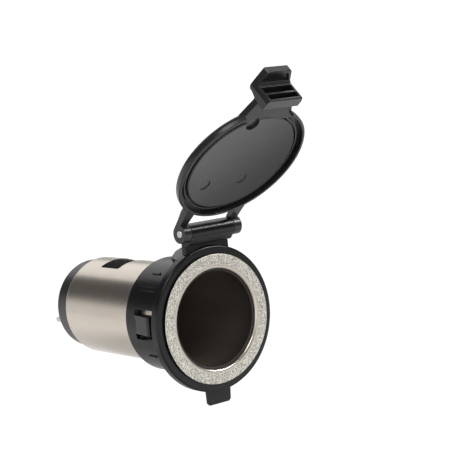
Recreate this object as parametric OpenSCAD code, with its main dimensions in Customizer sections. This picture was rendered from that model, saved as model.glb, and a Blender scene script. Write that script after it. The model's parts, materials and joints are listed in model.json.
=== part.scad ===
// Panel socket for a 12 volt plug, with a hinged lid that latches over the mouth.
// The origin is on the bore axis in the panel plane, where the collar's flange seats.
// The mouth faces -Y, the barrel runs back along +Y, and the lid's hinge is up, at +Z.

/* [Plug bore] */
// Diameter of the bore that takes the plug
bore_d = 21.4; // [20:0.1:22]
// Wall of the dark contact barrel
barrel_wall = 0.45; // [0.3:0.05:0.8]
// Depth of the bore from the mouth to the insulator
bore_depth = 28; // [24:0.5:30]

/* [Shell] */
// Sheet thickness of the drawn metal shell
shell_wall = 0.3; // [0.25:0.05:0.5]
// Width of the shell's front flange round the tube
shell_flange_w = 3; // [2:0.1:3.2]
// Height of the shell's front face above the collar's front face
shell_proud = 0.7; // [0.55:0.05:1]
// Radius of the rolled edge round the mouth
mouth_roll_r = 0.6; // [0.56:0.02:0.7]
// Length of the shell from its front face to its rear edge
shell_len = 43.4; // [42:0.2:50]
// Radius of the rolled rear edge
rear_roll_r = 0.55; // [0.5:0.05:0.8]
// How far the rear edge is turned in over the cap, inside its roll
rear_lip = 0.2; // [0.15:0.05:0.5]
// Width of the window in the top of the shell
window_w = 10.3; // [6:0.1:12]
// Length of the window along the shell
window_len = 7.1; // [4:0.1:7.5]
// Distance from the front of the insulator to the window
window_offset = 1; // [0.5:0.1:1.4]

/* [Collar] */
// Width of the collar's flange outside the sleeve
flange_w = 3.3; // [2.6:0.1:3.8]
// Thickness of the collar's flange
flange_t = 2.2; // [1.9:0.1:3]
// Radius of the flange's front edge
flange_edge_r = 0.45; // [0.2:0.05:0.6]
// Wall of the sleeve at the tongues
sleeve_wall = 1; // [0.8:0.05:1.4]
// Gap behind the sleeve's wall, in which the tongues bend
sleeve_relief = 0.5; // [0.4:0.05:1]
// Length of the sleeve behind the panel plane
sleeve_len = 14; // [12:0.1:18]
// Width of each snap tongue
tongue_w = 4.2; // [3:0.1:5]
// Height of the snap tongue's catch above the sleeve
tongue_rise = 0.75; // [0.3:0.05:1]
// Panel thickness that the tongues clip behind
panel_t = 4.2; // [3.6:0.1:5]
// Length of each snap tongue
tongue_len = 6.3; // [5:0.1:7]
// Width of the slots beside the tongues
tongue_slot = 1.3; // [0.8:0.1:1.6]
// Width of the locating key at the flange
key_w = 5.3; // [4.4:0.1:6]
// Length of the locating key behind the flange
key_len = 4.2; // [3.4:0.1:5]
// Angle of the locating key from +X
key_angle = 110; // [108:1:125]

/* [Hinge] */
// Height of the hinge axis above the bore axis
hinge_z = 20; // [19.6:0.1:23]
// Distance of the hinge axis in front of the panel plane
hinge_out = 2.15; // [1.9:0.05:2.4]
// Diameter of the hinge pin
pin_d = 1.8; // [1.4:0.1:2.2]
// Wall of the knuckle and of the lid's eyes round the pin
knuckle_wall = 1.15; // [0.9:0.05:1.3]
// Width of the collar's knuckle along the pin
knuckle_w = 12.1; // [9:0.1:13]
// Width of each eye of the lid along the pin
eye_w = 1.95; // [1.6:0.05:2.4]
// Angle by which the lid stands open at rest
lid_open = 135.6; // [0:0.2:160]
// Angle by which the lid stops short of lying flat, where its latch meets the tab
close_short = 0.6; // [0:0.1:1]

/* [Lid] */
// Radius of the lid's disc
lid_r = 15.6; // [15.5:0.1:16.4]
// Height of the disc's centre above the bore axis
lid_rise = 0.3; // [0:0.1:0.6]
// Thickness of the lid's disc
lid_t = 1.7; // [1.6:0.1:2.4]
// Radius of the disc's outer edge
lid_edge_r = 1.3; // [0.6:0.05:1.35]
// Radius of the raised pad inside the lid
pad_r = 13.3; // [12.5:0.1:13.8]
// Depth of the groove round the pad
groove_depth = 0.9; // [0.5:0.05:1]
// Width of the rim
rim_w = 0.65; // [0.4:0.05:0.9]
// How far the rim stands above the pad
rim_rise = 0.55; // [0.2:0.05:0.6]
// How far the latch's web lies below the pad
web_drop = 0.15; // [0.05:0.05:0.3]
// Width of the latch block
latch_w = 9.6; // [7:0.1:10]
// Length of the latch block from its root to its nose
latch_block_len = 2.65; // [2.4:0.05:3.6]
// Length of the finger lip below the nose
lip_len = 3.3; // [2.8:0.1:4.5]
// Width of the finger lip at its end
lip_w = 6.3; // [4:0.1:7]
// Width of the latch's web where it meets the rim
web_w = 12.7; // [11:0.1:16]
// Length of the latch's web from the rim to the block
web_len = 2.15; // [1.2:0.05:2.6]
// Thickness of the latch's web
web_t = 1.45; // [1:0.05:1.5]

/* [Catch tab] */
// Width of the tab under the flange
tab_w = 6.5; // [5:0.1:8]
// Drop of the tab below the flange
tab_drop = 2.95; // [2:0.05:3.2]
// Thickness of the tab
tab_t = 0.65; // [0.5:0.05:0.95]

/* [Rear end] */
// Clearance of the rear cap in the shell's turned-in edge
cap_clear = 0.1; // [0.05:0.05:0.3]
// Length of the rear cap behind the shell
cap_len = 4.9; // [2.5:0.1:6]
// Width of the terminal blades
blade_w = 6.3; // [4.8:0.1:6.3]
// Thickness of the terminal blades
blade_t = 0.8; // [0.5:0.1:0.8]
// Length of the terminal blades behind the cap
blade_len = 13.5; // [8:0.5:14]
// Diameter of the rivet that holds the centre contact
rivet_d = 3; // [2:0.1:3.2]

/* [Hidden] */
$fn = 96;

// Clearances
press_gap = 0.01;        // Press fit, left open just enough to keep the faces apart
seat_gap = 0.05;         // Sliding fit between round pieces
pin_gap = 0.05;          // Running fit of the pin in the knuckle
side_gap = 0.1;          // Between the knuckle and the lid's eyes
lid_gap = 0.05;          // Between the closed lid and the shell's front
rim_gap = 0.15;          // Between the lid's rim and the shell's flange inside it
latch_gap = 0.1;         // Between the closed latch block and the catch tab
slot_gap = 0.1;          // Round a terminal blade in the cap

// Radii, from the bore outwards
bore_r = bore_d / 2;
barrel_r = bore_r + barrel_wall;
shell_ir = barrel_r + seat_gap;
shell_r = shell_ir + shell_wall;
collar_ir = shell_r + seat_gap;
relief_r = collar_ir + sleeve_relief;
sleeve_r = relief_r + sleeve_wall;
flange_r = sleeve_r + flange_w;
shell_flange_r = shell_r + shell_flange_w;
seat_ring_r = shell_flange_r - 0.5;
rear_ir = shell_r - rear_roll_r - rear_lip;
cap_r = rear_ir - cap_clear;

// Places along the bore axis, from the mouth backwards
collar_front = -flange_t;
shell_front = collar_front - shell_proud;
insulator_front = shell_front + bore_depth;
window_y = insulator_front + window_offset;
shell_end = shell_front + shell_len;
cap_shoulder_t = 1.8;
cap_shoulder_end = shell_end - shell_wall;
insulator_end = cap_shoulder_end - cap_shoulder_t - blade_t;
cap_front = insulator_end + blade_t;
cap_end = shell_end + cap_len;
cap_skin = 1.6;
blade_tip = cap_end + blade_len;

// Centre contact, behind the insulator's face
face_step = 0.4;
contact_recess = 2.6;
contact_rise = 1.6;
contact_foot_r = rivet_d * 1.45;
contact_rim_r = rivet_d;

// Height of the positive blade below the axis, clear of the rivet's head
blade_drop = rivet_d * 1.63;
// Distance of the negative blade to the side of the axis
blade_side = cap_r - 2.25;

// Hinge and lid, given with the lid closed
pin_r = pin_d / 2;
knuckle_r = pin_r + knuckle_wall;
hinge_y = -hinge_out;
eye_x = knuckle_w / 2 + side_gap;
lid_in = shell_front - lid_gap;
lid_out = lid_in - lid_t;
rim_in = lid_in + rim_rise;
rim_ir = max(lid_r - rim_w, shell_flange_r + lid_rise + rim_gap);
web_in = lid_in - web_drop;
latch_top = lid_rise - lid_r - web_len;
latch_nose = latch_top - latch_block_len;
latch_back = lid_out - 2.45;
lip_end = latch_nose - lip_len;
valley = [latch_back + 1.8, latch_nose + 0.1];
tab_bottom = -flange_r - tab_drop;
tab_front = collar_front + 1;
latch_in = tab_front - latch_gap + (hinge_z - latch_nose) * sin(close_short);

// Turns a shape whose axis is Z so that its axis is Y, with its Z along +Y
module along_y() {
    rotate([-90, 0, 0]) children();
}

// Turns a profile drawn as (y, z) into a bar along X, centred on x = 0
module bar_x(width) {
    rotate([90, 0, 90]) linear_extrude(width, center = true) children();
}

// Cylinder along X, centred on x = 0
module rod_x(r, length) {
    rotate([0, 90, 0]) cylinder(r = r, h = length, center = true);
}

// Points of an arc round c from angle a0 to a1
function arc(c, r, a0, a1, n = 8) =
    [for (i = [0:n]) c + r * [cos(a0 + (a1 - a0) * i / n), sin(a0 + (a1 - a0) * i / n)]];

// Point where the line from p touches the circle round c, on the side given by s
function touch(c, r, p, s) =
    let (d = p - c, a = atan2(d[1], d[0]) + s * acos(r / norm(d)))
    c + r * [cos(a), sin(a)];

module socket_shell() {
    tube_end = shell_end - rear_roll_r;
    roll_c = shell_r - rear_roll_r;
    mouth = [shell_ir + mouth_roll_r, shell_front + mouth_roll_r];
    color("silver") difference() {
        along_y() rotate_extrude() polygon(concat(
            arc(mouth, mouth_roll_r, 180, 270),
            arc([shell_flange_r - shell_wall / 2, shell_front + shell_wall / 2],
                shell_wall / 2, -90, 90),
            arc(mouth, mouth_roll_r - shell_wall, 270, 180, 4),
            arc([roll_c, tube_end], rear_roll_r, 0, 90),
            [[rear_ir, shell_end], [rear_ir, shell_end - shell_wall]],
            arc([roll_c, tube_end], rear_roll_r - shell_wall, 90, 0)));
        shell_window();
    }
}

// Window through the top of the shell, with rounded corners
module shell_window() {
    corner = 0.5;
    x = window_w / 2 - corner;
    y = window_len / 2 - corner;
    translate([0, window_y + window_len / 2, 0]) linear_extrude(shell_r + 1) polygon(concat(
        arc([x, y], corner, 0, 90, 4), arc([-x, y], corner, 90, 180, 4),
        arc([-x, -y], corner, 180, 270, 4), arc([x, -y], corner, 270, 360, 4)));
}

// Dark inner barrel that the plug's side springs touch
module contact_barrel() {
    front = shell_front + mouth_roll_r + seat_gap;
    color("dimgray") along_y() rotate_extrude() polygon([
        [bore_r, front + 0.15], [bore_r + 0.15, front], [barrel_r, front],
        [barrel_r, insulator_front], [bore_r, insulator_front]]);
}

// Insulating block that closes the bore and shows through the window
module insulator() {
    dish_r = contact_foot_r + 0.4;
    dish_y = insulator_front + contact_recess;
    face_y = insulator_front + face_step;
    face_r = bore_r - 0.15;
    color([0.12, 0.12, 0.13]) along_y() difference() {
        rotate_extrude() polygon([
            [0, dish_y], [dish_r, dish_y], [dish_r + 0.8, face_y],
            [face_r, face_y], [face_r, insulator_front], [barrel_r, insulator_front],
            [barrel_r, insulator_end], [0, insulator_end]]);
        translate([0, 0, insulator_front - 1])
            cylinder(r = rivet_d / 2 + seat_gap, h = insulator_end - insulator_front + 2);
    }
}

// Pressed brass contact that meets the plug's tip
module centre_contact() {
    t = 0.4;
    slope = 0.3;
    base = insulator_front + contact_recess;
    top = base - contact_rise;
    hole_r = rivet_d / 2 + seat_gap;
    color("goldenrod") along_y() rotate_extrude() polygon([
        [hole_r, top], [contact_rim_r, top], [contact_foot_r - 3 * slope, base - t],
        [contact_foot_r, base - t], [contact_foot_r, base], [contact_foot_r - 4 * slope, base],
        [contact_rim_r - slope, top + t], [hole_r, top + t]]);
}

// Rivet through contact, insulator and positive terminal, with a domed head at each end
module centre_rivet() {
    shank = rivet_d / 2;
    head = shank + 0.6;
    front = insulator_front + contact_recess - contact_rise;
    rear = insulator_end + blade_t;
    head_t = 0.7;
    color("lightgray") along_y() rotate_extrude() polygon(concat(
        [[0, front - head_t]],
        [for (a = [75:-15:0]) [head * cos(a), front - head_t * sin(a)]],
        [[shank, front], [shank, rear]],
        [for (a = [0:15:75]) [head * cos(a), rear + head_t * sin(a)]],
        [[0, rear + head_t]]));
}

// Blade along +Y in the plane z = 0, from y0 to the tip, with a detent hole
module blade(y0) {
    taper = 1.1;
    hole_from_tip = 3.6;
    translate([0, 0, -blade_t / 2]) linear_extrude(blade_t) difference() {
        polygon([[-blade_w / 2, y0], [blade_w / 2, y0], [blade_w / 2, blade_tip - taper],
            [blade_w / 2 - taper, blade_tip], [taper - blade_w / 2, blade_tip],
            [-blade_w / 2, blade_tip - taper]]);
        translate([0, blade_tip - hole_from_tip]) circle(d = 1.8, $fn = 32);
    }
}

module positive_terminal() {
    foot_top = rivet_d * 0.97;
    color("silver") {
        translate([0, 0, -blade_drop]) blade(insulator_end);
        along_y() translate([0, 0, insulator_end]) difference() {
            linear_extrude(blade_t) polygon([
                [-blade_w / 2, blade_drop + blade_t / 2], [-blade_w / 2, -foot_top + 1.2],
                [1.2 - blade_w / 2, -foot_top], [blade_w / 2 - 1.2, -foot_top],
                [blade_w / 2, -foot_top + 1.2], [blade_w / 2, blade_drop + blade_t / 2]]);
            translate([0, 0, -1]) cylinder(r = rivet_d / 2 + press_gap, h = blade_t + 2);
        }
    }
}

// Ring under the cap's shoulder that earths the shell, with its blade bent back
module negative_terminal() {
    ring_ir = blade_side - blade_t / 2;
    color("silver") {
        along_y() translate([0, 0, insulator_end]) difference() {
            cylinder(r = barrel_r, h = blade_t);
            translate([0, 0, -1]) cylinder(r = ring_ir, h = blade_t + 2);
        }
        translate([blade_side, 0, 0]) rotate([0, 90, 0]) blade(insulator_end);
    }
}

// Cap that closes the rear of the shell, held by the rolled edge
module rear_cap() {
    edge = 0.8;
    shoulder_edge = rear_roll_r - shell_wall;
    hollow_r = blade_side - blade_t / 2 - 0.6;
    color([0.12, 0.12, 0.13]) difference() {
        along_y() rotate_extrude() polygon(concat(
            [[0, cap_end - cap_skin], [hollow_r, cap_end - cap_skin], [hollow_r, cap_front],
                [barrel_r, cap_front],
                [barrel_r, cap_shoulder_end - shoulder_edge],
                [barrel_r - shoulder_edge, cap_shoulder_end],
                [cap_r, cap_shoulder_end]],
            arc([cap_r - edge, cap_end - edge], edge, 0, 90),
            [[0, cap_end]]));
        translate([0, cap_end, -blade_drop])
            cube([blade_w + 2 * slot_gap, 3 * cap_len, blade_t + 2 * slot_gap], center = true);
        translate([blade_side, cap_end, 0])
            cube([blade_t + 2 * slot_gap, 6 * cap_len, blade_w + 2 * slot_gap], center = true);
    }
}

// Revolved body of the collar: seat ring, flange and sleeve
module collar_body() {
    end_chamfer = 0.35;
    back_edge = 0.2;
    seat = shell_front + shell_wall;
    bend = mouth_roll_r - shell_wall;
    relief_start = 2.2;
    along_y() rotate_extrude() polygon(concat(
        [[collar_ir, seat + bend], [collar_ir + bend, seat], [seat_ring_r, seat], [seat_ring_r, collar_front]],
        arc([flange_r - flange_edge_r, collar_front + flange_edge_r], flange_edge_r, -90, 0, 5),
        [[flange_r, -back_edge], [flange_r - back_edge, 0], [sleeve_r, 0],
            [sleeve_r, sleeve_len - end_chamfer], [sleeve_r - end_chamfer, sleeve_len],
            [relief_r, sleeve_len], [relief_r, relief_start], [collar_ir, relief_start]]));
}

// Profile of the hinge bracket, as (y, z): neck, ledge and round knuckle
module bracket_profile() {
    axis = [hinge_y, hinge_z];
    recess_y = collar_front + 0.9;
    ledge = [collar_front - 0.35, hinge_z - knuckle_r - 0.6];
    front = touch(axis, knuckle_r, ledge, -1);
    back = [0, hinge_z - 1.2];
    root = sleeve_r + 0.4;
    translate(axis) circle(knuckle_r);
    polygon([[0, root], back, touch(axis, knuckle_r, back, 1), axis, front, ledge,
        ledge + [0.35, -0.2], [recess_y, ledge[1] - 0.35], [recess_y, root]]);
}

// Cut that frees one snap tongue at the side given by s
module tongue_slots(s) {
    front_gap = 0.7;
    side = tongue_w / 2 + tongue_slot / 2;
    outer = sleeve_r + 2;
    for (z = [-side, side])
        translate([s > 0 ? collar_ir : -outer, panel_t - front_gap, z - tongue_slot / 2])
            cube([outer - collar_ir, tongue_len + front_gap, tongue_slot]);
    translate([s > 0 ? collar_ir : -outer, panel_t - front_gap, -side])
        cube([outer - collar_ir, front_gap, 2 * side]);
}

// Ramp on a tongue, rising towards the panel
module tongue_ramp(s) {
    sunk = sleeve_wall * 0.6;
    mirror([s < 0 ? 1 : 0, 0, 0]) translate([0, 0, -tongue_w / 2]) linear_extrude(tongue_w) polygon([
        [sleeve_r - sunk, panel_t], [sleeve_r + tongue_rise - 0.2, panel_t],
        [sleeve_r + tongue_rise, panel_t + 0.3],
        [sleeve_r + tongue_rise, panel_t + 0.9],
        [sleeve_r - 0.1, panel_t + tongue_len], [sleeve_r - sunk, panel_t + tongue_len]]);
}

// Thin axial rib on the sleeve at the given angle, from y0 to y1
module sleeve_rib(angle, y0, y1, width) {
    height = 0.25;
    rotate([0, -angle, 0]) translate([sleeve_r - 0.4, y0, -width / 2])
        cube([0.4 + height, y1 - y0, width]);
}

// Key behind the flange that fits a notch in the panel, with its far corner cut away
module locating_key() {
    root = sleeve_r - 0.5;
    top = flange_r - 0.15;
    half = key_w / 2;
    rotate([0, -key_angle, 0]) translate([root, 0, 0]) rotate([90, 0, 90])
        linear_extrude(top - root) polygon([
            [-0.5, -half], [key_len, -half], [key_len, half - key_w * 0.69],
            [key_len * 0.62, half - 0.8], [-0.5, half]]);
}

// Tab under the flange that the lid's latch closes against
module catch_tab() {
    corner = 0.5;
    root = sleeve_r + 0.5;
    half = tab_w / 2;
    translate([0, tab_front + tab_t, 0]) rotate([90, 0, 0]) linear_extrude(tab_t) polygon([
        [-half - 0.3, -root], [-half, tab_bottom + corner], [corner - half, tab_bottom],
        [half - corner, tab_bottom], [half, tab_bottom + corner], [half + 0.3, -root]]);
}

module collar() {
    rib_w = 1.2;
    color([0.16, 0.16, 0.17]) difference() {
        union() {
            collar_body();
            for (s = [-1, 1]) tongue_ramp(s);
            for (a = [30:60:330])
                rotate([0, -a, 0]) translate([collar_ir, 2, -rib_w / 2])
                    cube([sleeve_relief + 0.4, sleeve_len - 2.4, rib_w]);
            for (m = [-1, 1]) {
                sleeve_rib(90 + m * 35, 6.7, 9.4, 0.5);
                sleeve_rib(90 + m * 54, 4.7, 9.7, 1);
                sleeve_rib(-90 + m * 55, 6.5, 9, 0.5);
            }
            locating_key();
            catch_tab();
            bar_x(knuckle_w) bracket_profile();
        }
        for (s = [-1, 1]) tongue_slots(s);
        translate([0, hinge_y, hinge_z]) rod_x(pin_r + pin_gap, knuckle_w + 2);
    }
}

// Swings a shape modelled in the closed place to the lid's place at rest
module swing_open() {
    translate([0, hinge_y, hinge_z]) rotate([-lid_open, 0, 0])
        translate([0, -hinge_y, -hinge_z]) children();
}

module hinge_pin() {
    chamfer = 0.15;
    half = eye_x + eye_w;
    color("gainsboro") translate([0, hinge_y, hinge_z]) rotate([0, 90, 0]) rotate_extrude()
        polygon([[0, -half], [pin_r - chamfer, -half], [pin_r, chamfer - half],
            [pin_r, half - chamfer], [pin_r - chamfer, half], [0, half]]);
}

// Revolved disc of the lid, with rim, groove, bead and pad on the inside
module lid_disc() {
    bead_in = pad_r + 0.35;
    bead_out = bead_in + 0.35;
    bead_top = lid_in - groove_depth * 0.3;
    floor_y = lid_in - groove_depth;
    translate([0, 0, lid_rise]) along_y() rotate_extrude() polygon(concat(
        [[0, lid_out]],
        arc([lid_r - lid_edge_r, lid_out + lid_edge_r], lid_edge_r, -90, 0, 6),
        [[lid_r, rim_in - 0.15], [lid_r - 0.15, rim_in], [rim_ir, rim_in],
            [rim_ir - 0.15, floor_y], [bead_out + 0.1, floor_y],
            [bead_out, bead_top], [bead_in, bead_top], [bead_in, floor_y + 0.1],
            [pad_r + 0.05, floor_y + 0.1], [pad_r - 0.05, lid_in - 0.2],
            [pad_r - 0.3, lid_in], [0, lid_in]]));
}

// Side profile of a hinge arm, as (y, z): as thick as the disc, with the eye standing proud
module arm_profile() {
    axis = [hinge_y, hinge_z];
    root = lid_rise + lid_r * 0.72;
    out_p = [lid_out, lid_rise + lid_r - 0.8];
    translate(axis) circle(knuckle_r);
    polygon([axis, touch(axis, knuckle_r, out_p, -1), out_p, [lid_out + 0.4, root],
        [lid_in, root], [lid_in, hinge_z]]);
}

// One hinge arm at the side given by s, wider where it joins the disc
module lid_arm(s) {
    flare = 0.4;
    intersection() {
        translate([s * (eye_x + eye_w / 2), 0, 0]) bar_x(eye_w + 2 * flare) arm_profile();
        rotate([90, 0, 0]) translate([0, 0, -hinge_out * 3]) linear_extrude(20) polygon([
            [s * eye_x, hinge_z + 5], [s * (eye_x + eye_w), hinge_z + 5],
            [s * (eye_x + eye_w), hinge_z - 2.2],
            [s * (eye_x + eye_w + flare), lid_r - 3], [s * (eye_x + eye_w + flare), 0],
            [s * (eye_x - flare), 0], [s * (eye_x - flare), lid_r - 1.4],
            [s * eye_x, hinge_z - knuckle_r - side_gap]]);
    }
}

// Side profile of the latch, as (y, z): web, block and finger lip
module latch_profile() {
    root = lid_rise - lid_r + 1.2;
    web_back = web_in - web_t;
    polygon([[web_in, root], [web_in, latch_top], [latch_in - 0.35, latch_top],
        [latch_in, latch_nose + 0.25], [latch_in - 0.2, latch_nose],
        valley, valley - [0.45, 0.5], [valley[0] - 0.45, lip_end + 0.15],
        [valley[0] - 0.6, lip_end], [latch_back - 0.2, lip_end],
        [latch_back - 0.35, lip_end + 0.15], [latch_back - 0.2, latch_nose - 0.5],
        [latch_back, latch_top - 1.1], [latch_back + 0.4, latch_top - 0.75],
        [latch_back + 1.1, latch_top - 0.7], [web_back - 0.15, latch_top - 0.25],
        [web_back, latch_top + 0.2], [web_back, root]]);
}

// Block with two pockets, and the finger lip, which narrows to its end
module latch() {
    wall = 0.8;
    nose_wall = 0.5;
    pocket_depth = 1.8;
    half = latch_w / 2;
    lip_half = lip_w / 2;
    rib_y = (latch_in + valley[0]) / 2;
    intersection() {
        difference() {
            bar_x(latch_w) latch_profile();
            for (y = [[valley[0] + 0.35, rib_y - 0.2], [rib_y + 0.2, latch_in - nose_wall]])
                translate([-half + wall, y[0], latch_nose - 2])
                    cube([latch_w - 2 * wall, y[1] - y[0], 2 + pocket_depth]);
            // Recess in the finger lip's inner face
            rotate([90, 0, 0]) translate([0, 0, -valley[0] - 0.3]) linear_extrude(1.2) polygon([
                [-half + 1, latch_nose - 0.5], [half - 1, latch_nose - 0.5],
                [lip_half - 0.5, lip_end + 0.8], [0.5 - lip_half, lip_end + 0.8]]);
        }
        rotate([90, 0, 0]) translate([0, 0, -1]) linear_extrude(30) polygon([
            [-half, 0], [-half, latch_nose + 1], [-lip_half - 0.1, lip_end + 0.35],
            [0.25 - lip_half, lip_end], [lip_half - 0.25, lip_end],
            [lip_half + 0.1, lip_end + 0.35], [half, latch_nose + 1], [half, 0]]);
    }
}

// Slab of the web's plan from y_back to y_front, from the block to inside the groove
module web_slab(y_back, y_front) {
    half = latch_w / 2;
    rim_z = lid_rise - sqrt(pow(lid_r, 2) - pow(web_w / 2, 2));
    root = lid_rise - lid_r * 0.8;
    spread = (web_w / 2 - half) * (root - latch_top) / (rim_z - latch_top);
    translate([0, y_front, 0]) rotate([90, 0, 0]) linear_extrude(y_front - y_back) polygon([
        [-half, latch_top - 0.1], [half, latch_top - 0.1],
        [half + spread, root], [-half - spread, root]]);
}

// Disc with the rim cut away over the web
module lid_plate() {
    difference() {
        lid_disc();
        difference() {
            web_slab(web_in, 0);
            translate([0, 0, lid_rise]) along_y() cylinder(r = pad_r, h = 20, center = true);
        }
    }
    web_slab(web_in - web_t, web_in);
}

// Round marks on the pad, each as [x, z, radius, depth]
pad_marks = [[-7.6, 5.6, 1.4, 0.15], [2.3, 5.2, 1.4, 0.15], [-3.2, -11.6, 1.6, 0.4]];

module lid() {
    color([0.3, 0.3, 0.31]) swing_open() difference() {
        union() {
            lid_plate();
            difference() {
                for (s = [-1, 1]) lid_arm(s);
                translate([0, lid_in - groove_depth, lid_rise]) along_y() cylinder(r = rim_ir, h = 10);
            }
            latch();
        }
        for (m = pad_marks)
            translate([m[0], lid_in - m[3], m[1]]) rotate([-90, 0, 0]) cylinder(r = m[2], h = 1);
        translate([0, hinge_y, hinge_z]) rod_x(pin_r + press_gap, 2 * (eye_x + eye_w) + 2);
    }
}

socket_shell();
contact_barrel();
insulator();
centre_contact();
centre_rivet();
positive_terminal();
negative_terminal();
rear_cap();
collar();
hinge_pin();
lid();
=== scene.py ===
import json
import math

import bpy
from mathutils import Euler, Matrix, Vector

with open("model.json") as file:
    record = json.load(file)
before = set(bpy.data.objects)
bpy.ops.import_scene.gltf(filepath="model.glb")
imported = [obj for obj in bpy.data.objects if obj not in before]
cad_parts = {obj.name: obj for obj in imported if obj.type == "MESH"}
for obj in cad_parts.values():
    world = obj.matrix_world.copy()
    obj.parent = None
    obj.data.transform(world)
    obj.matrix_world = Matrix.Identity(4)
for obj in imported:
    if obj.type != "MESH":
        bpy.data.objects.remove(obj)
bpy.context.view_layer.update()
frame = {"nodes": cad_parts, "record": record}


# The floor: a pale board below the socket, which in use hangs in a panel by its
# flange. Its colour is darker near the socket, a painted shade, but for a painted pool
# of light that the lid's pad mirrors. The eye sees it white, with the socket's shadow.
FLOOR_Z = -0.055
FLOOR_HALF = 0.36
FLOOR_PAINTED_SHADE = (0.47, 0.47, 0.47, 1)
FLOOR_FAR = (0.77, 0.77, 0.77, 1)
FLOOR_SHADE_EDGE = (0.095, 0.125)
PAINTED_LIGHT_AT = (0.090, 0.0, 0.0)
PAINTED_LIGHT_EDGE = (0.014, 0.027)
PAINTED_LIGHT_PALER = 1.5
WHITE = (1, 1, 1, 1)
WHITE_LEVEL = 1.08
FLOOR_SEEN_WHITE = 0.92


# add() makes one node of the graph. in_Some_Name or in_3 sets an input or links it,
# any other name sets a property, and out picks the output that is given back.
def shader_graph(owner):
    owner.use_nodes = True
    tree = owner.node_tree
    tree.nodes.clear()

    def add(kind, out=None, **values):
        node = tree.nodes.new(kind)
        for key, value in values.items():
            if not key.startswith("in_"):
                setattr(node, key, value)
                continue
            name = key[3:]
            socket = node.inputs[int(name) if name.isdigit() else name.replace("_", " ")]
            if isinstance(value, bpy.types.NodeSocket):
                tree.links.new(value, socket)
            else:
                socket.default_value = value
        return node if out is None else node.outputs[out]

    return add


def own_place(add):
    return add("ShaderNodeTexCoord").outputs["Object"]


def reckoned(add, operation, *numbers):
    inputs = {f"in_{i}": number for i, number in enumerate(numbers)}
    return add("ShaderNodeMath", 0, operation=operation, **inputs)


def measured(add, operation, *vectors):
    inputs = {f"in_{i}": vector for i, vector in enumerate(vectors)}
    return add("ShaderNodeVectorMath", 1, operation=operation, **inputs)


def ramp(add, value, over=(0.0, 1.0), levels=(0.0, 1.0), **way):
    return add("ShaderNodeMapRange", 0, in_0=value, in_1=over[0], in_2=over[1],
               in_3=levels[0], in_4=levels[1], **way)


def mixed(add, share, first, second, **way):
    return add("ShaderNodeMix", 2, data_type="RGBA", in_0=share, in_6=first, in_7=second, **way)


def tinted(add, colour, by):
    return mixed(add, 1.0, colour, by, blend_type="MULTIPLY")


def white_to_the_eye(add, shader, share):
    path = add("ShaderNodeLightPath").outputs
    seen = reckoned(add, "MAXIMUM", path["Is Camera Ray"], path["Is Transmission Ray"])
    part = reckoned(add, "MULTIPLY", seen, share)
    white = add("ShaderNodeEmission", 0, in_Color=WHITE, in_Strength=WHITE_LEVEL)
    return add("ShaderNodeMixShader", 0, in_0=part, in_1=shader, in_2=white)


floor_finish = bpy.data.materials.new("pale_floor")
add = shader_graph(floor_finish)
spot = add("ShaderNodeSeparateXYZ", in_0=own_place(add))
plan = add("ShaderNodeCombineXYZ", 0, in_X=spot.outputs["X"], in_Y=spot.outputs["Y"])
# Painted shade darkens the floor near the socket, and a painted pool of light lies where the
# lid's pad mirrors it.
shade = ramp(add, measured(add, "LENGTH", plan), FLOOR_SHADE_EDGE)
painted_light = ramp(add, measured(add, "DISTANCE", plan, PAINTED_LIGHT_AT), PAINTED_LIGHT_EDGE, (PAINTED_LIGHT_PALER, 1.0))
tone = tinted(add, mixed(add, shade, FLOOR_PAINTED_SHADE, FLOOR_FAR), painted_light)
paint = add("ShaderNodeBsdfDiffuse", 0, in_Color=tone)
add("ShaderNodeOutputMaterial", in_Surface=white_to_the_eye(add, paint, FLOOR_SEEN_WHITE))
floor_mesh = bpy.data.meshes.new("floor")
corners = [(-FLOOR_HALF, -FLOOR_HALF), (FLOOR_HALF, -FLOOR_HALF),
           (FLOOR_HALF, FLOOR_HALF), (-FLOOR_HALF, FLOOR_HALF)]
floor_mesh.from_pydata([(x, y, FLOOR_Z) for x, y in corners], [], [(0, 1, 2, 3)])
floor_mesh.materials.append(floor_finish)
floor = bpy.data.objects.new("floor", floor_mesh)
bpy.context.scene.collection.objects.link(floor)


# The sky: an even studio, white to the eye. What shines sees it bright near the
# horizon and dim overhead, with a dark card low at the right front and a bright
# window low at the left front.
SKY_LOW = 0.88
SKY_HIGH = 0.10
SKY_EDGE = (0.05, 0.27)
SKY_FILL = 0.75
CARD_TOWARD = (0.62, -0.78, 0.03)
CARD_EDGE = (0.90, 0.97)
CARD_LEVEL = 0.15
WINDOW_TOWARD = (-0.84, -0.54, 0.05)
WINDOW_EDGE = (0.84, 0.92)
WINDOW_LEVEL = 0.8


def soft_ramp(add, value, over, levels):
    return ramp(add, value, over, levels, interpolation_type="SMOOTHSTEP")


def around(add, toward, middle, edge, levels):
    return soft_ramp(add, measured(add, "DOT_PRODUCT", toward, middle), edge, levels)


def between(add, share, first, second):
    return add("ShaderNodeMix", 0, data_type="FLOAT", in_0=share, in_2=first, in_3=second)


world = bpy.data.worlds.new("studio")
bpy.context.scene.world = world
add = shader_graph(world)
toward = add("ShaderNodeTexCoord").outputs["Generated"]
height = add("ShaderNodeSeparateXYZ", 2, in_0=toward)
gradient = soft_ramp(add, height, SKY_EDGE, (SKY_LOW, SKY_HIGH))
card = around(add, toward, CARD_TOWARD, CARD_EDGE, (1.0, CARD_LEVEL))
window = around(add, toward, WINDOW_TOWARD, WINDOW_EDGE, (0.0, WINDOW_LEVEL))
mirrored = reckoned(add, "MULTIPLY_ADD", gradient, card, window)
glossy = add("ShaderNodeLightPath").outputs["Is Glossy Ray"]
level = between(add, glossy, SKY_FILL, mirrored)
sky = add("ShaderNodeBackground", 0, in_Color=WHITE, in_Strength=level)
add("ShaderNodeOutputWorld", in_Surface=white_to_the_eye(add, sky, share=1.0))


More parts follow.
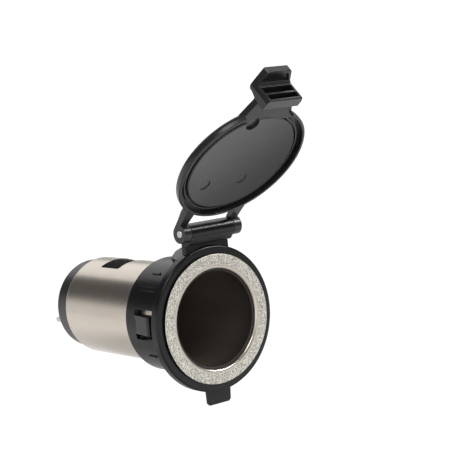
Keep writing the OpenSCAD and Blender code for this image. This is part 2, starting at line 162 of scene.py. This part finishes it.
# The camera: it stands where the photograph's lines meet, left of the mouth and a
# little above the axis, and looks into the bore.
CAMERA_AT = (-0.200241, -0.252352, 0.058101)
CAMERA_TURN = (82.8926, 4.6752, -40.2929)
CAMERA_LENS = 112.403
CAMERA_SENSOR = 36.0
CAMERA_CLIP = 0.01

lens = bpy.data.cameras.new("camera")
lens.sensor_width = CAMERA_SENSOR
lens.lens = CAMERA_LENS
lens.clip_start = CAMERA_CLIP
camera = bpy.data.objects.new("camera", lens)
camera.location = CAMERA_AT
camera.rotation_euler = Euler([math.radians(angle) for angle in CAMERA_TURN], "XYZ")
bpy.context.scene.collection.objects.link(camera)
bpy.context.scene.camera = camera
bpy.context.scene.view_settings.view_transform = "Standard"


# The soft boxes: four plain lamps, all aimed at the socket. Each line gives a lamp's
# place and size in metres and its power in watts.
SOFT_BOXES = [
    ("key_box", (-0.45, -0.35, 0.75), (0.5, 0.5), 4.0),
    ("side_box", (0.75, 0.25, 0.80), (0.5, 0.16), 1.1),
    ("edge_box", (0.62, -0.52, 0.58), (0.6, 0.08), 5.5),
    ("back_box", (0.38, 0.84, 0.60), (1.08, 0.55), 2.2),
]

for name, at, size, watts in SOFT_BOXES:
    lamp = bpy.data.lights.new(name, "AREA")
    lamp.shape = "RECTANGLE"
    lamp.size, lamp.size_y = size
    lamp.energy = watts
    box = bpy.data.objects.new(name, lamp)
    box.location = at
    box.rotation_euler = (-Vector(at)).to_track_quat("-Z", "Y").to_euler()
    bpy.context.scene.collection.objects.link(box)


# The shell: a drawn steel tube with a turned flange, nickel plated, which holds the
# inner parts. The tube is satin with faint lines from the drawing, and the flange's
# face is finely grained.
NICKEL = (0.62, 0.56, 0.49, 1)
NICKEL_WORN = (0.54, 0.49, 0.43, 1)
NICKEL_CLOUD = 140.0
FLANGE_GREY = (0.65, 0.625, 0.56, 1)
FLANGE_BACK_Y = (-0.0026, -0.0024)
FACE_INNER_R = (0.0119, 0.0122)
FACE_GRAIN = 5000.0
SPECK_NOISE = (0.34, 0.66)
SPECK_TONE = (0.56, 1.32)
DRAWN_LINES = (260, 14, 260)
TUBE_ROUGH = (0.20, 0.32)
LIP_ROUGH = 0.30
FACE_ROUGH = 0.46
DRAWN_DEPTH = 0.000003
FACE_GRAIN_DEPTH = 0.00002


def noise(add, place, scale, detail):
    return add("ShaderNodeTexNoise", 0, in_Vector=place, in_Scale=scale, in_Detail=detail)


def streaks(add, place, lines):
    stretched = add("ShaderNodeMapping", 0, in_Vector=place, in_Scale=lines)
    return noise(add, stretched, scale=1.0, detail=4.0)


def across_bore(add, axes):
    return add("ShaderNodeCombineXYZ", 0, in_X=axes.outputs["X"], in_Z=axes.outputs["Z"])


def bore_radius(add, axes):
    return measured(add, "LENGTH", across_bore(add, axes))


def bumped(add, grain, depth, **under):
    return add("ShaderNodeBump", 0, in_Height=grain, in_Distance=depth, in_Strength=1.0, **under)


def surface(add, **values):
    shader = add("ShaderNodeBsdfPrincipled", 0, **values)
    add("ShaderNodeOutputMaterial", in_Surface=shader)


def finish(name, build):
    material = bpy.data.materials.new(name)
    build(shader_graph(material))
    return material


def dress(node, material):
    mesh = frame["nodes"][node].data
    mesh.materials.clear()
    mesh.materials.append(material)


def shell_finish(add):
    place = own_place(add)
    axes = add("ShaderNodeSeparateXYZ", in_0=place)
    front = ramp(add, axes.outputs["Y"], FLANGE_BACK_Y, (1.0, 0.0))
    outside = ramp(add, bore_radius(add, axes), FACE_INNER_R)
    face = reckoned(add, "MULTIPLY", outside, front)
    drawn = streaks(add, place, DRAWN_LINES)
    cloud = noise(add, place, NICKEL_CLOUD, detail=3.0)
    grain = noise(add, place, FACE_GRAIN, detail=0.0)
    tube_tone = mixed(add, cloud, NICKEL, NICKEL_WORN)
    face_tone = tinted(add, FLANGE_GREY, ramp(add, grain, SPECK_NOISE, SPECK_TONE))
    tube_rough = ramp(add, drawn, levels=TUBE_ROUGH)
    rough = between(add, face, between(add, front, tube_rough, LIP_ROUGH), FACE_ROUGH)
    height = between(add, face, drawn, grain)
    depth = between(add, face, DRAWN_DEPTH, FACE_GRAIN_DEPTH)
    surface(add, in_Base_Color=mixed(add, face, tube_tone, face_tone), in_Metallic=1.0,
            in_Roughness=rough, in_Normal=bumped(add, height, depth))


dress("socket_shell", finish("nickel_plate", shell_finish))


# The contact barrel: a thin steel tube with a dark finish, slid into the shell, which
# earths the plug. Its colour is painted darker at the mouth and paler towards the
# bottom of the bore: painted shade and painted light.
BARREL_DARK = (0.075, 0.063, 0.053, 1)
BARREL_BROWN = (0.105, 0.088, 0.073, 1)
BARREL_LINES = (200, 20, 200)
BARREL_LENGTH_Y = (-0.002, 0.024)
BARREL_PAINTED_SHADE_TO_LIGHT = (0.28, 3.0)
BARREL_ROUGH = (0.40, 0.55)
BARREL_METAL = 0.3


def barrel_finish(add):
    place = own_place(add)
    streak = streaks(add, place, BARREL_LINES)
    along = add("ShaderNodeSeparateXYZ", 1, in_0=place)
    # Painted shade at the mouth and painted light deeper in the bore, along its length.
    painted_depth_light = ramp(add, along, BARREL_LENGTH_Y, BARREL_PAINTED_SHADE_TO_LIGHT)
    tone = tinted(add, mixed(add, streak, BARREL_DARK, BARREL_BROWN), painted_depth_light)
    rough = ramp(add, streak, levels=BARREL_ROUGH)
    surface(add, in_Base_Color=tone, in_Metallic=BARREL_METAL, in_Roughness=rough)


dress("contact_barrel", finish("dark_barrel", barrel_finish))


# The insulator: a black phenolic block that closes the bore behind the barrel. It is
# moulded, a little dusty, and shows through the shell's window.
PHENOLIC = (0.005, 0.005, 0.005, 1)
PHENOLIC_ROUGH = 0.62
PHENOLIC_GLOSS = 0.03
PHENOLIC_GRAIN = 1800.0
PHENOLIC_GRAIN_DEPTH = 0.000008
HAZE = 120.0
HAZE_PALER = 1.6
HAZE_ROUGH = (-0.04, 0.05)
MOULD_EDGE_R = 0.00013


def shade_of(tone, by):
    return tuple(channel * by for channel in tone[:3]) + (1,)


def moulded(name, tone, roughness, gloss, grain_scale, grain_depth, form=None):
    def build(add):
        place = own_place(add)
        grain = noise(add, place, grain_scale, detail=3.0)
        haze = noise(add, place, HAZE, detail=2.0)
        colour = mixed(add, haze, tone, shade_of(tone, HAZE_PALER))
        rough = ramp(add, haze, levels=[roughness + change for change in HAZE_ROUGH])
        softened = add("ShaderNodeBevel", 0, samples=8, in_Radius=MOULD_EDGE_R)
        if form:
            softened = form(add, place, softened)
        surface(add, in_Base_Color=colour, in_Roughness=rough, in_Specular_IOR_Level=gloss,
                in_Normal=bumped(add, grain, grain_depth, in_Normal=softened))

    return finish(name, build)


dress("insulator", moulded("black_insulator", PHENOLIC, PHENOLIC_ROUGH, PHENOLIC_GLOSS,
                           PHENOLIC_GRAIN, PHENOLIC_GRAIN_DEPTH))


# The centre contact: a pressed brass button behind the insulator's face, which takes
# the plug's tip. It is held by the rivet.
BRASS = (0.72, 0.50, 0.20, 1)
BRASS_ROUGH = 0.3
METAL_CLOUD = 500.0
METAL_DARKER = 0.8
METAL_CLOUD_ROUGH = (-0.06, 0.08)
METAL_CLOUD_DEPTH = 0.000006


def plain_metal(name, tone, roughness):
    def build(add):
        cloud = noise(add, own_place(add), METAL_CLOUD, detail=4.0)
        colour = mixed(add, cloud, tone, shade_of(tone, METAL_DARKER))
        rough = ramp(add, cloud, levels=[roughness + change for change in METAL_CLOUD_ROUGH])
        surface(add, in_Base_Color=colour, in_Metallic=1.0, in_Roughness=rough,
                in_Normal=bumped(add, cloud, METAL_CLOUD_DEPTH))

    return finish(name, build)


dress("centre_contact", plain_metal("contact_brass", BRASS, BRASS_ROUGH))


# The centre rivet: a bright steel rivet through the contact, the insulator and the
# foot of the live terminal. It clamps the three and carries the current.
STEEL = (0.60, 0.59, 0.58, 1)
STEEL_ROUGH = 0.22
bright_steel = plain_metal("pin_steel", STEEL, STEEL_ROUGH)
dress("centre_rivet", bright_steel)


# The live terminal: a tinned brass strip, stamped and bent. Its foot is under the
# rivet's head and its blade passes through the rear cap.
TIN = (0.66, 0.66, 0.65, 1)
TIN_ROUGH = 0.34
tinned = plain_metal("tinned_blade", TIN, TIN_ROUGH)
dress("positive_terminal", tinned)


# The earth terminal: a ring with a blade, stamped from the same tinned strip. The
# ring is clamped against the shell, between the insulator and the rear cap.
dress("negative_terminal", tinned)


# The rear cap: a black phenolic moulding held by the shell's rolled edge. Its side and
# rounded edge are smoother than the insulator and shine a little, and its flat end is
# dull.
CAP_END_R = (0.0100, 0.0101)
CAP_ROUGH = (0.8, 0.34)
CAP_GRAIN_ROUGH = 0.06
CAP_GLOSS = 0.85


def cap_finish(add):
    place = own_place(add)
    axes = add("ShaderNodeSeparateXYZ", in_0=place)
    base = ramp(add, bore_radius(add, axes), CAP_END_R, CAP_ROUGH)
    grain = noise(add, place, PHENOLIC_GRAIN, detail=3.0)
    rough = reckoned(add, "MULTIPLY_ADD", grain, CAP_GRAIN_ROUGH, base)
    surface(add, in_Base_Color=PHENOLIC, in_Roughness=rough, in_Specular_IOR_Level=CAP_GLOSS,
            in_Normal=bumped(add, grain, PHENOLIC_GRAIN_DEPTH))


dress("rear_cap", finish("cap_black", cap_finish))


# The collar: one black nylon moulding with flange, sleeve, hinge bracket and catch
# tab. It slides over the shell and its two tongues snap behind the panel.
COLLAR_BLACK = (0.003, 0.003, 0.003, 1)
COLLAR_ROUGH = 0.25
COLLAR_GLOSS = 0.32
COLLAR_GRAIN = 700.0
NYLON_GRAIN_DEPTH = 0.00001
dress("collar", moulded("collar_black", COLLAR_BLACK, COLLAR_ROUGH, COLLAR_GLOSS,
                        COLLAR_GRAIN, NYLON_GRAIN_DEPTH))


# The hinge pin: a short rod of bright drawn steel, with cut ends. It is pressed in the
# lid's two eyes and turns in the collar's knuckle.
dress("hinge_pin", bright_steel)


# The lid: one black nylon moulding, satin on the inside, with its finger latch. Its
# pad sank a little as it cooled, so it is hollow like a shallow dish. The dish is
# laid out as if the lid were shut, when the pad is square to the bore.
LID_BLACK = (0.009, 0.009, 0.009, 1)
LID_ROUGH = 0.28
LID_GLOSS = 0.50
LID_GRAIN = 500.0
LID_OPEN = math.radians(135.6)
HINGE = Vector(frame["record"]["behaviour"]["joints"][0]["pos_m"])
PAD_MIDDLE = (0.0, 0.0, 0.0003)
PAD_R = 0.0133
LID_INSIDE_Y = (-0.00355, -0.00345)
DISH_CURVE_R = 0.080


def dished_pad(add, place, normal):
    turn = Matrix.Rotation(LID_OPEN, 3, "X")
    shut = add("ShaderNodeMapping", 0, in_Vector=place, in_Rotation=(LID_OPEN, 0, 0),
               in_Location=HINGE - turn @ HINGE)
    centred = add("ShaderNodeVectorMath", 0, operation="SUBTRACT", in_0=shut, in_1=PAD_MIDDLE)
    axes = add("ShaderNodeSeparateXYZ", in_0=centred)
    flat = across_bore(add, axes)
    square = measured(add, "DOT_PRODUCT", flat, flat)
    inside = ramp(add, axes.outputs["Y"], LID_INSIDE_Y)
    below_edge = reckoned(add, "SUBTRACT", square, PAD_R * PAD_R)
    dish = reckoned(add, "MINIMUM", below_edge, 0.0)
    hollow = reckoned(add, "MULTIPLY", dish, inside)
    # A shallow dish rises by the square of the distance over twice its curve's radius.
    return bumped(add, hollow, 0.5 / DISH_CURVE_R, in_Normal=normal)


dress("lid", moulded("lid_black", LID_BLACK, LID_ROUGH, LID_GLOSS, LID_GRAIN,
                     NYLON_GRAIN_DEPTH, dished_pad))
